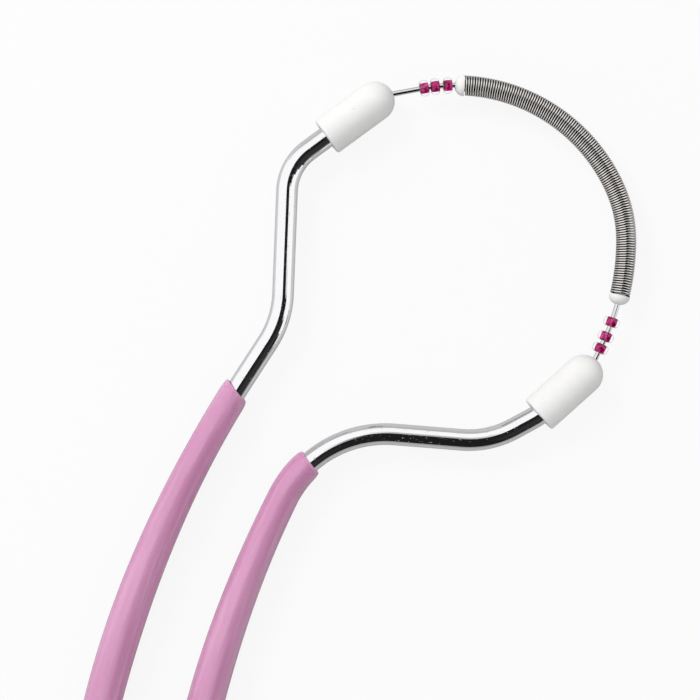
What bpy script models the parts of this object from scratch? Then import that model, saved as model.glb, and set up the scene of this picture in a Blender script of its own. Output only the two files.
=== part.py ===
"""Facial hair removal spring.

One chrome rod is bent into a long swept U. Its two arms carry pink sleeves at the handle
and white caps at the head. A stiff core wire bows from cap to cap, and on it turn a coil
spring, a plug at each end of the spring and three glass beads beyond each plug.

The tool lies flat: the rod's plane is parallel to XY, the handle runs along Y with the
head at +Y, and the caps touch the ground at z = 0. Lengths are in metres.
"""

import math

import bmesh
import bpy
from mathutils import Matrix, Vector

MM = 0.001
UP = Vector((0.0, 0.0, 1.0))

# Frame rod. Each arm starts at the handle's U bend and is a chain of legs, measured
# from corner to corner. A heading is the leg's direction in degrees from +X.
ROD_DIAMETER = 3.5 * MM
HANDLE_SPACING = 16.1 * MM
HANDLE_HEADING = 90.0
SWEEP_RADIUS = 175.0 * MM

LEFT_HANDLE_LEG = 67.8 * MM
LEFT_SWEEP_LEG = 40.8 * MM
LEFT_SWEEP_HEADING = 70.8
LEFT_KNEE_RADIUS = 15.5 * MM
LEFT_SHOULDER_LEG = 25.0 * MM
LEFT_SHOULDER_HEADING = 101.6
LEFT_SHOULDER_RADIUS = 8.5 * MM
LEFT_END_LEG = 20.6 * MM
LEFT_END_HEADING = 50.1

RIGHT_HANDLE_LEG = 58.9 * MM
RIGHT_SWEEP_LEG = 32.6 * MM
RIGHT_SWEEP_HEADING = 77.8
RIGHT_KNEE_RADIUS = 18.5 * MM
RIGHT_SHOULDER_LEG = 27.9 * MM
RIGHT_SHOULDER_HEADING = 9.2
RIGHT_SHOULDER_RADIUS = 15.0 * MM
RIGHT_THROAT_LEG = 8.8 * MM
RIGHT_THROAT_HEADING = 42.2
RIGHT_THROAT_RADIUS = 8.0 * MM
RIGHT_END_LEG = 13.2 * MM
RIGHT_END_HEADING = 55.8

# Sleeves, pushed over the arms above the U bend. The bore hugs the rod.
SLEEVE_BORE_CLEARANCE = 0.15 * MM
SLEEVE_MOUTH_WALL = 0.25 * MM
SLEEVE_NECK_WALL = 0.6 * MM
SLEEVE_GRIP_WALL = 1.15 * MM
SLEEVE_FOOT_WALL = 0.85 * MM
SLEEVE_MOUTH_LENGTH = 2.0 * MM
SLEEVE_TAPER_LENGTH = 50.0 * MM
SLEEVE_FOOT_LENGTH = 1.6 * MM
SLEEVE_START = 4.0 * MM
LEFT_SLEEVE_LENGTH = 90.6 * MM
RIGHT_SLEEVE_LENGTH = 82.2 * MM

# End caps, a bored cylinder with a domed tip that the core wire leaves through.
CAP_LENGTH = 12.9 * MM
CAP_WALL = 1.15 * MM
CAP_CLEARANCE = 0.3 * MM
CAP_RIM_ROUNDING = 0.35 * MM
CAP_SEAT_DEPTH = 8.5 * MM

# Core wire. It sits in a bore in each end of the rod, bends in the cap, leaves the cap
# with a lean from the bow's axis, runs straight for its lead and then bows in three
# arcs: a wide one, a tighter shoulder and a last one. The arcs' radii are shares of the
# bow's span, and the last arc makes up the rest of the turn.
WIRE_DIAMETER = 0.85 * MM
WIRE_SEAT_DEPTH = 3.2 * MM
WIRE_SEAT_CLEARANCE = 0.3 * MM
WIRE_CHANNEL_CLEARANCE = 0.25 * MM
WIRE_BEND_RADIUS = 8.0 * MM
WIRE_LEAN_DEGREES = 26.9
WIRE_LEAD = 5.0 * MM
BOW_WIDE_TURN_DEGREES = 76.0
BOW_SHOULDER_TURN_DEGREES = 24.7
BOW_RADIUS_SHARES = (0.526, 0.384, 0.726)

# Coil spring near the middle of the wire, shifted towards the right cap. Its turns are
# drawn open, so that each one is a form of its own.
COIL_LENGTH = 48.6 * MM
COIL_SHIFT = 0.25 * MM
COIL_DIAMETER = 3.3 * MM
COIL_WIRE_DIAMETER = 0.4 * MM
CURL_PITCH = 0.87 * MM
CURL_ELBOW_RADIUS = 0.3 * MM
CURL_ELBOW_SHARES = (1 / 3, 2 / 3, 1.0)
COIL_END_GAP = 0.3 * MM

# Plugs, one in each end of the coil: a dome, a thin rim and a spigot inside the coil.
PLUG_OVERHANG = 0.05 * MM
PLUG_DOME_HEIGHT = 1.4 * MM
PLUG_RIM_THICKNESS = 0.15 * MM
PLUG_SPIGOT_LENGTH = 2.0 * MM
PLUG_SPIGOT_CLEARANCE = 0.3 * MM
TURNING_CLEARANCE = 0.18 * MM

# Beads. They lie loose between plug and cap: each gap is a share of the length of wire
# that the three beads leave free, counted from the plug.
BEAD_DIAMETER = 2.65 * MM
BEAD_LENGTH = 1.5 * MM
BEAD_FULLNESS_SHARE = 0.62
LEFT_GAP_SHARES = (0.065, 0.10, 0.052)
RIGHT_GAP_SHARES = (0.452, 0.209, 0.12)

# Looks: colour, roughness, metallic and transmission of each material.
CHROME_LOOK = ((0.86, 0.87, 0.88), 0.06, 1.0, 0.0)
PINK_LOOK = ((0.72, 0.30, 0.52), 0.22, 0.0, 0.0)
WHITE_LOOK = ((0.86, 0.86, 0.84), 0.45, 0.0, 0.0)
STEEL_LOOK = ((0.62, 0.63, 0.64), 0.3, 1.0, 0.0)
GLASS_LOOK = ((0.72, 0.05, 0.32), 0.05, 0.0, 0.6)

# Fineness of the round shapes.
BEND_STEP_DEGREES = 8.0
STATION_SPACING = 6.0 * MM
WIRE_STATION_SPACING = 2.0 * MM
GUIDE_SPACING = 0.1 * MM
ROD_RING = 6
SLEEVE_RING = 6
WIRE_RING = 2
CURL_RING = 1
POINTS_PER_CURL = 8
TURNED_STEPS = 16
CAP_STEPS = 32
DOME_STEPS = 8
BEAD_PROFILE_STEPS = 6
SLEEVE_PROFILE_SHARES = (0.0, 0.1, 0.2, 0.35, 0.5, 0.65, 0.8, 1.0)
MOUTH_PROFILE_SHARES = (0.0, 0.12, 0.3, 0.6, 1.0)

CUT_OVERRUN = 1.0 * MM
WELD_DISTANCE = 0.01 * MM

# Angles in degrees, and sizes that the ones above fix.
HALF_TURN = math.degrees(math.pi)
QUARTER_TURN = HALF_TURN / 2
ROD_RADIUS = ROD_DIAMETER / 2
SLEEVE_BORE_RADIUS = ROD_RADIUS + SLEEVE_BORE_CLEARANCE
CAP_BORE_RADIUS = ROD_RADIUS + CAP_CLEARANCE
CAP_RADIUS = CAP_BORE_RADIUS + CAP_WALL
WIRE_RADIUS = WIRE_DIAMETER / 2
TURNING_BORE_RADIUS = WIRE_RADIUS + TURNING_CLEARANCE
CURL_RADIUS = (COIL_DIAMETER - COIL_WIRE_DIAMETER) / 2
SPIGOT_RADIUS = COIL_DIAMETER / 2 - COIL_WIRE_DIAMETER - PLUG_SPIGOT_CLEARANCE
PLUG_RADIUS = COIL_DIAMETER / 2 + PLUG_OVERHANG
PLUG_OUTSIDE = PLUG_DOME_HEIGHT + PLUG_RIM_THICKNESS


def direction(heading):
    """Unit vector in the rod's plane for a heading in degrees."""
    angle = math.radians(heading)
    return Vector((math.cos(angle), math.sin(angle), 0.0))


def arc_offset(start_heading, end_heading, radius):
    """Displacement along a clockwise arc, whose heading falls from start to end."""
    start = math.radians(start_heading)
    end = math.radians(end_heading)
    across = math.sin(start) - math.sin(end)
    along = math.cos(end) - math.cos(start)
    return Vector((across, along, 0.0)) * radius


class Route:
    """A line in the rod's plane through points, with places found by distance."""

    def __init__(self, points):
        self.points = [points[0]]
        for point in points[1:]:
            if (point - self.points[-1]).length > WELD_DISTANCE:
                self.points.append(point)
        self.distances = [0.0]
        for before, after in zip(self.points, self.points[1:]):
            self.distances.append(self.distances[-1] + (after - before).length)
        self.length = self.distances[-1]

    def at(self, distance):
        """Point and unit tangent at a distance from the start."""
        index = 1
        while index < len(self.points) - 1 and self.distances[index] < distance:
            index += 1
        before = self.points[index - 1]
        tangent = (self.points[index] - before).normalized()
        return before + tangent * (distance - self.distances[index - 1]), tangent

    def section(self, start, end, stations=()):
        """(distance, point) pairs from start to end, through every corner between them
        and the given extra distances."""
        inner = [d for d in (*self.distances, *stations) if start < d < end]
        kept = [start]
        for distance in sorted(inner):
            if min(distance - kept[-1], end - distance) > WELD_DISTANCE:
                kept.append(distance)
        kept.append(end)
        return [(distance, self.at(distance)[0]) for distance in kept]


def arc_points(start, start_heading, end_heading, radius, spacing):
    """Points along a clockwise arc after its start, no further apart than spacing."""
    turn = start_heading - end_heading
    by_angle = turn / BEND_STEP_DEGREES
    by_length = math.radians(turn) * radius / spacing
    steps = max(1, math.ceil(max(by_angle, by_length)))
    headings = (start_heading - turn * step / steps for step in range(1, steps + 1))
    return [start + arc_offset(start_heading, heading, radius) for heading in headings]


def fitted_reaches(legs, headings, radii):
    """How far each corner's bend reaches along its legs, shortened where the bends at
    the two ends of one leg would meet."""
    half_turns = [
        abs(math.radians(after - before)) / 2 for before, after in zip(headings, headings[1:])
    ]
    reaches = [radius * math.tan(half) for radius, half in zip(radii, half_turns)]
    padded = [0.0, *reaches, 0.0]
    room = [leg / max(leg, sum(pair)) for leg, pair in zip(legs, zip(padded, padded[1:]))]
    return [reach * min(pair) for reach, pair in zip(reaches, zip(room, room[1:]))]


def arm_route(start, legs, headings, radii):
    """Rod centreline of one arm from the U bend to the tip of its cap."""
    reaches = fitted_reaches(legs, headings, radii)
    points = [start]
    corner = start
    for index, reach in enumerate(reaches):
        corner = corner + direction(headings[index]) * legs[index]
        turn = math.radians(headings[index + 1] - headings[index])
        bend_start = corner - direction(headings[index]) * reach
        radius = reach / math.tan(abs(turn) / 2)
        side = math.copysign(1, turn)
        centre = bend_start + UP.cross(direction(headings[index])) * radius * side
        by_angle = abs(math.degrees(turn)) / BEND_STEP_DEGREES
        by_length = abs(turn) * radius / STATION_SPACING
        steps = max(1, math.ceil(max(by_angle, by_length)))
        for step in range(steps + 1):
            swing = Matrix.Rotation(turn * step / steps, 3, 'Z')
            points.append(centre + swing @ (bend_start - centre))
    points.append(corner + direction(headings[-1]) * legs[-1])
    return Route(points)


def handle_bend():
    """Points of the U bend from the left arm's foot to the right arm's foot."""
    steps = math.ceil(HALF_TURN / BEND_STEP_DEGREES)
    radius = HANDLE_SPACING / 2
    angles = (math.pi + math.pi * step / steps for step in range(1, steps))
    return [Vector((math.cos(a), math.sin(a), 0.0)) * radius for a in angles]


def bow_closure(rest, arcs, end_direction):
    """Size of the bow's arcs, which are given for a size of one, and length of the
    straight after them, so that together they span the rest of the way."""
    spread = arcs.x * end_direction.y - arcs.y * end_direction.x
    size = (rest.x * end_direction.y - rest.y * end_direction.x) / spread
    straight = (arcs.x * rest.y - arcs.y * rest.x) / spread
    return size, straight


class Bow:
    """The core wire's route from the left arm's rod end to the right arm's, with the
    distances where it leaves one cap and enters the other."""

    def __init__(self, left, right, spacing):
        left_tip, left_axis = left.at(left.length)
        right_tip, right_axis = right.at(right.length)
        chord = right_tip - left_tip
        chord_heading = math.degrees(math.atan2(chord.y, chord.x))
        out_heading = chord_heading + QUARTER_TURN - WIRE_LEAN_DEGREES
        in_heading = chord_heading - QUARTER_TURN + WIRE_LEAN_DEGREES
        last_heading = RIGHT_END_HEADING - HALF_TURN
        left_bend = arc_offset(LEFT_END_HEADING, out_heading, WIRE_BEND_RADIUS)
        right_bend = arc_offset(in_heading, last_heading, WIRE_BEND_RADIUS)
        exit_point = left_tip + left_bend - left_axis * left_bend.dot(left_axis)
        entry_point = right_tip - right_bend + right_axis * right_bend.dot(right_axis)

        shoulder_heading = out_heading - BOW_WIDE_TURN_DEGREES
        turns = (
            (out_heading, shoulder_heading),
            (shoulder_heading, shoulder_heading - BOW_SHOULDER_TURN_DEGREES),
            (shoulder_heading - BOW_SHOULDER_TURN_DEGREES, in_heading),
        )
        unit_arcs = Vector((0.0, 0.0, 0.0))
        for turn, share in zip(turns, BOW_RADIUS_SHARES):
            unit_arcs += arc_offset(*turn, share)
        rest = entry_point - exit_point - direction(out_heading) * WIRE_LEAD
        size, straight = bow_closure(rest, unit_arcs, direction(in_heading))

        buried = CAP_LENGTH - CAP_SEAT_DEPTH + WIRE_SEAT_DEPTH
        points = [left_tip - left_axis * buried, exit_point - left_bend]
        points += arc_points(
            points[-1], LEFT_END_HEADING, out_heading, WIRE_BEND_RADIUS, spacing
        )
        self.exit = Route(points).length
        points.append(points[-1] + direction(out_heading) * WIRE_LEAD)
        for turn, share in zip(turns, BOW_RADIUS_SHARES):
            points += arc_points(points[-1], *turn, share * size, spacing)
        points.append(points[-1] + direction(in_heading) * straight)
        self.entry = Route(points).length
        points += arc_points(points[-1], in_heading, last_heading, WIRE_BEND_RADIUS, spacing)
        points.append(right_tip - right_axis * buried)
        self.route = Route(points)
        self.middle = (self.exit + self.entry) / 2


def clear_scene():
    for obj in list(bpy.data.objects):
        bpy.data.objects.remove(obj, do_unlink=True)


def new_collection(name):
    collection = bpy.data.collections.new(name)
    bpy.context.scene.collection.children.link(collection)
    return collection


def new_material(name, look):
    colour, roughness, metallic, transmission = look
    material = bpy.data.materials.new(name)
    material.use_nodes = True
    shader = material.node_tree.nodes['Principled BSDF']
    shader.inputs['Base Color'].default_value = (*colour, 1.0)
    shader.inputs['Roughness'].default_value = roughness
    shader.inputs['Metallic'].default_value = metallic
    shader.inputs['Transmission Weight'].default_value = transmission
    return material


def add_object(name, data, collection, material=None):
    obj = bpy.data.objects.new(name, data)
    collection.objects.link(obj)
    if material:
        data.materials.append(material)
    return obj


def as_cutter(obj):
    obj.hide_render = True
    obj.display_type = 'WIRE'
    return obj


def tube(name, points, radius, ring, collection, material=None, shares=None):
    """A round tube with filled caps along points; shares scale its radius at each."""
    curve = bpy.data.curves.new(name, 'CURVE')
    curve.dimensions = '3D'
    curve.fill_mode = 'FULL'
    curve.use_fill_caps = True
    curve.bevel_depth = radius
    curve.bevel_resolution = ring
    spline = curve.splines.new('POLY')
    spline.points.add(len(points) - 1)
    for index, point in enumerate(points):
        spline.points[index].co = (*point, 1.0)
        if shares:
            spline.points[index].radius = shares[index]
    spline.use_smooth = True
    return add_object(name, curve, collection, material)


def solid_from_tube(tube_object, collection, material=None):
    """Replace a tube by a closed mesh, which Booleans can cut or cut with."""
    name = tube_object.name
    depsgraph = bpy.context.evaluated_depsgraph_get()
    mesh = bpy.data.meshes.new_from_object(tube_object.evaluated_get(depsgraph))
    bm = bmesh.new()
    bm.from_mesh(mesh)
    bmesh.ops.remove_doubles(bm, verts=bm.verts, dist=WELD_DISTANCE)
    bmesh.ops.recalc_face_normals(bm, faces=bm.faces)
    bm.to_mesh(mesh)
    bm.free()
    placed = tube_object.matrix_world.copy()
    bpy.data.objects.remove(tube_object, do_unlink=True)
    mesh.materials.clear()
    obj = add_object(name, mesh, collection, material)
    obj.matrix_world = placed
    return obj


def turned(name, profile, steps, closed, collection, material):
    """A turned solid: (radius, height) points, down the outer side, round local Z."""
    mesh = bpy.data.meshes.new(name)
    count = len(profile)
    edges = [(index, index + 1) for index in range(count - 1)]
    if closed:
        edges.append((count - 1, 0))
    mesh.from_pydata([(radius, 0.0, height) for radius, height in profile], edges, [])
    obj = add_object(name, mesh, collection, material)
    screw = obj.modifiers.new('Turn', 'SCREW')
    screw.axis = 'Z'
    screw.steps = steps
    screw.render_steps = steps
    screw.use_merge_vertices = True
    screw.merge_threshold = WELD_DISTANCE
    screw.use_smooth_shade = True
    return obj


def cut(obj, cutter):
    boolean = obj.modifiers.new('Cut by ' + cutter.name, 'BOOLEAN')
    boolean.operation = 'DIFFERENCE'
    boolean.solver = 'EXACT'
    boolean.object = cutter


def place_along(obj, point, axis):
    """Put an object's origin at a point and its local Z along an axis."""
    obj.location = point
    obj.rotation_euler = UP.rotation_difference(axis).to_euler()


def bore_cutter(name, radius, depth, point, axis, collection):
    """A cylinder cutter from just outside a face at point into the piece, along axis."""
    mesh = bpy.data.meshes.new(name)
    bm = bmesh.new()
    length = depth + CUT_OVERRUN
    bmesh.ops.create_cone(
        bm, cap_ends=True, segments=CAP_STEPS, radius1=radius, radius2=radius, depth=length
    )
    bmesh.ops.translate(bm, verts=bm.verts, vec=UP * (length / 2 - CUT_OVERRUN))
    bm.to_mesh(mesh)
    bm.free()
    cutter = as_cutter(add_object(name, mesh, collection))
    place_along(cutter, point, axis)
    return cutter


def rod_end(arm):
    """Distance along an arm where the rod stops inside the cap."""
    return arm.length - CAP_LENGTH + CAP_SEAT_DEPTH


def build_rod(arms, solids, cutters, material):
    left, right = arms['left'], arms['right']
    left_points = [point for _, point in left.section(0.0, rod_end(left))]
    right_points = [point for _, point in right.section(0.0, rod_end(right))]
    points = [*reversed(left_points), *handle_bend(), *right_points]
    rod = tube('frame_rod', points, ROD_RADIUS, ROD_RING, solids)
    rod = solid_from_tube(rod, solids, material)
    depth = WIRE_SEAT_DEPTH + WIRE_SEAT_CLEARANCE
    for side, arm in arms.items():
        end, axis = arm.at(rod_end(arm))
        bore = bore_cutter(
            side + '_wire_seat', WIRE_RADIUS + WIRE_SEAT_CLEARANCE, depth, end, -axis, cutters
        )
        cut(rod, bore)
    return rod


def rounding(share):
    """Height of a quarter circle of radius 1 at a share of its width."""
    return math.sqrt(1 - (1 - share) ** 2)


def easing(share):
    """Smooth rise from 0 to 1 that starts and ends level."""
    return (1 - math.cos(math.pi * share)) / 2


def sleeve_stations(length):
    """Distances from a sleeve's foot with its outer radius at each."""
    foot_radius = SLEEVE_BORE_RADIUS + SLEEVE_FOOT_WALL
    mouth_radius = SLEEVE_BORE_RADIUS + SLEEVE_MOUTH_WALL
    neck_radius = SLEEVE_BORE_RADIUS + SLEEVE_NECK_WALL
    grip_radius = SLEEVE_BORE_RADIUS + SLEEVE_GRIP_WALL
    stations = []
    for share in MOUTH_PROFILE_SHARES:
        radius = foot_radius + (grip_radius - foot_radius) * rounding(share)
        stations.append((SLEEVE_FOOT_LENGTH * share, radius))
    taper_start = length - SLEEVE_TAPER_LENGTH
    neck = length - SLEEVE_MOUTH_LENGTH
    for share in SLEEVE_PROFILE_SHARES:
        radius = grip_radius + (neck_radius - grip_radius) * easing(share)
        stations.append((taper_start + (neck - taper_start) * share, radius))
    for share in reversed(MOUTH_PROFILE_SHARES):
        radius = mouth_radius + (neck_radius - mouth_radius) * rounding(share)
        stations.append((length - SLEEVE_MOUTH_LENGTH * share, radius))
    return stations


def radius_at(stations, distance):
    """Straight-line reading of a (distance, radius) list."""
    for (start, first), (end, last) in zip(stations, stations[1:]):
        if start <= distance <= end and end > start:
            return first + (last - first) * (distance - start) / (end - start)
    return stations[-1][1]


def build_sleeve(side, arm, length, solids, cutters, material):
    name = side + '_sleeve'
    start = SLEEVE_START
    end = start + length
    stations = sleeve_stations(length)
    extra = [start + distance for distance, _ in stations]
    outside = arm.section(start, end, extra)
    grip_radius = SLEEVE_BORE_RADIUS + SLEEVE_GRIP_WALL
    shares = [radius_at(stations, distance - start) / grip_radius for distance, _ in outside]
    points = [point for _, point in outside]
    sleeve = tube(name, points, grip_radius, SLEEVE_RING, solids, shares=shares)
    sleeve = solid_from_tube(sleeve, solids, material)
    inside = arm.section(start - CUT_OVERRUN, end + CUT_OVERRUN)
    bore = tube(
        name + '_bore', [point for _, point in inside], SLEEVE_BORE_RADIUS, ROD_RING, cutters
    )
    bore = as_cutter(solid_from_tube(bore, cutters))
    cut(sleeve, bore)
    return sleeve


def cap_profile():
    """Outer outline from the domed tip down to the flat mouth face."""
    dome_start = CAP_LENGTH - CAP_RADIUS
    profile = []
    for step in range(DOME_STEPS + 1):
        angle = math.pi / 2 * (1 - step / DOME_STEPS)
        profile.append(
            (CAP_RADIUS * math.cos(angle), dome_start + CAP_RADIUS * math.sin(angle))
        )
    profile[0] = (0.0, CAP_LENGTH)
    profile.append((CAP_RADIUS, CAP_RIM_ROUNDING))
    profile.append((CAP_RADIUS - CAP_RIM_ROUNDING, 0.0))
    profile.append((0.0, 0.0))
    return profile


def build_cap(side, arm, wire_points, solids, cutters, material):
    name = side + '_cap'
    tip, axis = arm.at(arm.length)
    mouth = tip - axis * CAP_LENGTH
    cap = turned(name, cap_profile(), CAP_STEPS, False, solids, material)
    place_along(cap, mouth, axis)
    depth = CAP_SEAT_DEPTH + CAP_CLEARANCE
    cut(cap, bore_cutter(name + '_bore', CAP_BORE_RADIUS, depth, mouth, axis, cutters))
    channel = tube(
        name + '_channel', wire_points, WIRE_RADIUS + WIRE_CHANNEL_CLEARANCE, WIRE_RING, cutters
    )
    channel = as_cutter(solid_from_tube(channel, cutters))
    cut(cap, channel)
    return cap


def coil_points(bow, start, end):
    """The spring's wire: a short straight tail, the curls and another straight tail."""
    tail = COIL_WIRE_DIAMETER
    lead = COIL_END_GAP + tail + CURL_ELBOW_RADIUS
    first = start + lead
    last = end - lead
    curls = math.floor((last - first) / CURL_PITCH)
    steps = curls * POINTS_PER_CURL
    points = []
    for step in range(steps + 1):
        point, tangent = bow.at(first + (last - first) * step / steps)
        side = UP.cross(tangent)
        angle = 2 * math.pi * step / POINTS_PER_CURL
        points.append(point + (side * math.cos(angle) + UP * math.sin(angle)) * CURL_RADIUS)
    start_tail = coil_tail(points[1], points[0], -bow.at(first)[1], tail)
    end_tail = coil_tail(points[-2], points[-1], bow.at(last)[1], tail)
    return [*reversed(start_tail), *points, *end_tail], curls


def coil_tail(before, end, axis, length):
    """Points after a curl's end: an elbow into the axis direction, then a straight."""
    onward = end - before
    onward = (onward - axis * onward.dot(axis)).normalized()
    centre = end + axis * CURL_ELBOW_RADIUS
    elbow = []
    for share in CURL_ELBOW_SHARES:
        angle = math.pi / 2 * share
        reach = onward * math.sin(angle) - axis * math.cos(angle)
        elbow.append(centre + reach * CURL_ELBOW_RADIUS)
    return [*elbow, elbow[-1] + axis * length]


def least_gap(points, diameter, skip):
    """Least clear distance between stretches of one tube, at its points."""
    nearest = math.inf
    for index, point in enumerate(points):
        for other in points[index + skip:]:
            nearest = min(nearest, (other - point).length)
    return nearest - diameter


def build_coil(bow, start, end, solids, material):
    points, curls = coil_points(bow, start, end)
    gap = least_gap(points, COIL_WIRE_DIAMETER, POINTS_PER_CURL - 1)
    print(f'coil spring: {curls} curls, least gap to itself {gap / MM:.3f} mm')
    return tube('coil_spring', points, COIL_WIRE_DIAMETER / 2, CURL_RING, solids, material)


def plug_profile():
    """Dome, rim, shoulder and spigot; height zero is the middle of the plug's length."""
    middle = (PLUG_OUTSIDE - PLUG_SPIGOT_LENGTH) / 2
    start_angle = math.acos(TURNING_BORE_RADIUS / PLUG_RADIUS)
    profile = []
    for step in range(DOME_STEPS + 1):
        angle = start_angle * (1 - step / DOME_STEPS)
        height = PLUG_RIM_THICKNESS + PLUG_DOME_HEIGHT * math.sin(angle)
        profile.append((PLUG_RADIUS * math.cos(angle), height - middle))
    profile.append((PLUG_RADIUS, -middle))
    profile.append((SPIGOT_RADIUS, -middle))
    profile.append((SPIGOT_RADIUS, -PLUG_SPIGOT_LENGTH - middle))
    profile.append((TURNING_BORE_RADIUS, -PLUG_SPIGOT_LENGTH - middle))
    return profile


def build_plug(side, bow, shoulder, outward, solids, material):
    """One plug, its shoulder at a distance along the bow and its dome facing outward,
    +1 towards the bow's end or -1 towards its start."""
    plug = turned(side + '_spring_plug', plug_profile(), TURNED_STEPS, True, solids, material)
    middle = (PLUG_OUTSIDE - PLUG_SPIGOT_LENGTH) / 2
    point, tangent = bow.at(shoulder + middle * outward)
    place_along(plug, point, tangent * outward)
    return plug


def bead_profile():
    """A full round outside from hole edge to hole edge, and the straight hole."""
    profile = []
    for step in range(BEAD_PROFILE_STEPS + 1):
        angle = math.pi * step / BEAD_PROFILE_STEPS
        swell = abs(math.sin(angle)) ** BEAD_FULLNESS_SHARE
        radius = TURNING_BORE_RADIUS + (BEAD_DIAMETER / 2 - TURNING_BORE_RADIUS) * swell
        profile.append((radius, BEAD_LENGTH / 2 * math.cos(angle)))
    return profile


def bead_distances(free_length, gap_shares):
    """Distances of three bead centres from the plug's tip."""
    spare = free_length - BEAD_LENGTH * len(gap_shares)
    distances = []
    edge = 0.0
    for share in gap_shares:
        edge += spare * share
        distances.append(edge + BEAD_LENGTH / 2)
        edge += BEAD_LENGTH
    return distances


def build_beads(side, bow, plug_tip, outward, free_length, gap_shares, solids, material):
    beads = []
    for number, distance in enumerate(bead_distances(free_length, gap_shares), start=1):
        name = side + '_bead_' + str(number)
        bead = turned(name, bead_profile(), TURNED_STEPS, True, solids, material)
        point, tangent = bow.at(plug_tip + distance * outward)
        place_along(bead, point, tangent)
        beads.append(bead)
    return beads


def stand_on_ground(objects, measured):
    """Move everything so that the origin is at the bottom centre of the solids' box."""
    datum = bpy.data.objects.new('ground_datum', None)
    bpy.context.scene.collection.objects.link(datum)
    bpy.context.view_layer.update()
    for obj in objects:
        obj.parent = datum
    depsgraph = bpy.context.evaluated_depsgraph_get()
    places = []
    for obj in measured:
        evaluated = obj.evaluated_get(depsgraph)
        mesh = evaluated.to_mesh()
        places += [obj.matrix_world @ vertex.co for vertex in mesh.vertices]
        evaluated.to_mesh_clear()
    low = Vector([min(place[axis] for place in places) for axis in range(3)])
    high = Vector([max(place[axis] for place in places) for axis in range(3)])
    centre = (low + high) / 2
    datum.location = (-centre.x, -centre.y, -low.z)
    bpy.context.view_layer.update()
    return high - low


def main():
    clear_scene()
    solids = new_collection('facial_hair_spring')
    cutters = new_collection('cutters')
    chrome = new_material('polished_chrome', CHROME_LOOK)
    pink = new_material('pink_gloss_plastic', PINK_LOOK)
    white = new_material('white_plastic', WHITE_LOOK)
    steel = new_material('spring_steel', STEEL_LOOK)
    glass = new_material('magenta_lined_glass', GLASS_LOOK)

    half = HANDLE_SPACING / 2
    arms = {
        'left': arm_route(
            Vector((-half, 0.0, 0.0)),
            (LEFT_HANDLE_LEG, LEFT_SWEEP_LEG, LEFT_SHOULDER_LEG, LEFT_END_LEG),
            (HANDLE_HEADING, LEFT_SWEEP_HEADING, LEFT_SHOULDER_HEADING, LEFT_END_HEADING),
            (SWEEP_RADIUS, LEFT_KNEE_RADIUS, LEFT_SHOULDER_RADIUS),
        ),
        'right': arm_route(
            Vector((half, 0.0, 0.0)),
            (
                RIGHT_HANDLE_LEG,
                RIGHT_SWEEP_LEG,
                RIGHT_SHOULDER_LEG,
                RIGHT_THROAT_LEG,
                RIGHT_END_LEG,
            ),
            (
                HANDLE_HEADING,
                RIGHT_SWEEP_HEADING,
                RIGHT_SHOULDER_HEADING,
                RIGHT_THROAT_HEADING,
                RIGHT_END_HEADING,
            ),
            (SWEEP_RADIUS, RIGHT_KNEE_RADIUS, RIGHT_SHOULDER_RADIUS, RIGHT_THROAT_RADIUS),
        ),
    }
    wire = Bow(arms['left'], arms['right'], WIRE_STATION_SPACING)
    guide = Bow(arms['left'], arms['right'], GUIDE_SPACING)
    bow = guide.route

    build_rod(arms, solids, cutters, chrome)
    build_sleeve('left', arms['left'], LEFT_SLEEVE_LENGTH, solids, cutters, pink)
    build_sleeve('right', arms['right'], RIGHT_SLEEVE_LENGTH, solids, cutters, pink)
    seat = WIRE_SEAT_DEPTH
    left_channel = bow.section(seat, guide.exit + CUT_OVERRUN)
    right_channel = bow.section(guide.entry - CUT_OVERRUN, bow.length - seat)
    build_cap('left', arms['left'], [p for _, p in left_channel], solids, cutters, white)
    build_cap('right', arms['right'], [p for _, p in right_channel], solids, cutters, white)
    tube('core_wire', wire.route.points, WIRE_RADIUS, WIRE_RING, solids, chrome)

    coil_start = guide.middle + COIL_SHIFT - COIL_LENGTH / 2
    coil_end = guide.middle + COIL_SHIFT + COIL_LENGTH / 2
    build_coil(bow, coil_start, coil_end, solids, steel)
    moving = [
        build_plug('left', bow, coil_start, -1, solids, white),
        build_plug('right', bow, coil_end, 1, solids, white),
    ]
    left_tip = coil_start - PLUG_OUTSIDE
    right_tip = coil_end + PLUG_OUTSIDE
    left_free = left_tip - guide.exit
    right_free = guide.entry - right_tip
    moving += build_beads('left', bow, left_tip, -1, left_free, LEFT_GAP_SHARES, solids, glass)
    moving += build_beads(
        'right', bow, right_tip, 1, right_free, RIGHT_GAP_SHARES, solids, glass
    )

    size = stand_on_ground([*solids.objects, *cutters.objects], list(solids.objects))
    print('size in mm:', *(f'{length / MM:.2f}' for length in size))
    for obj in moving:
        place = obj.matrix_world.translation
        axis = obj.matrix_world.to_3x3() @ UP
        numbers = (f'{value:.7f}' for value in (*place, *axis))
        print(obj.name, 'turns at and about:', *numbers)


main()
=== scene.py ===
# %% [markdown]
# # Facial hair removal spring
#
# One chrome rod is bent into a long swept U. Its arms carry two pink sleeves and end in
# two white caps. A stiff core wire bows from cap to cap, and on it sit a close coil
# spring, a white plug at each end of the spring and three small glass beads beyond each
# plug.
#
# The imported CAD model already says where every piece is, and how it moves. The cells
# below build each piece again with finer shapes and real finishes, in the same place.
# A piece could keep its CAD mesh and only get a new material, but nearly all of these
# are round and polished, and flat facets would show in the reflections.

import math

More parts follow.
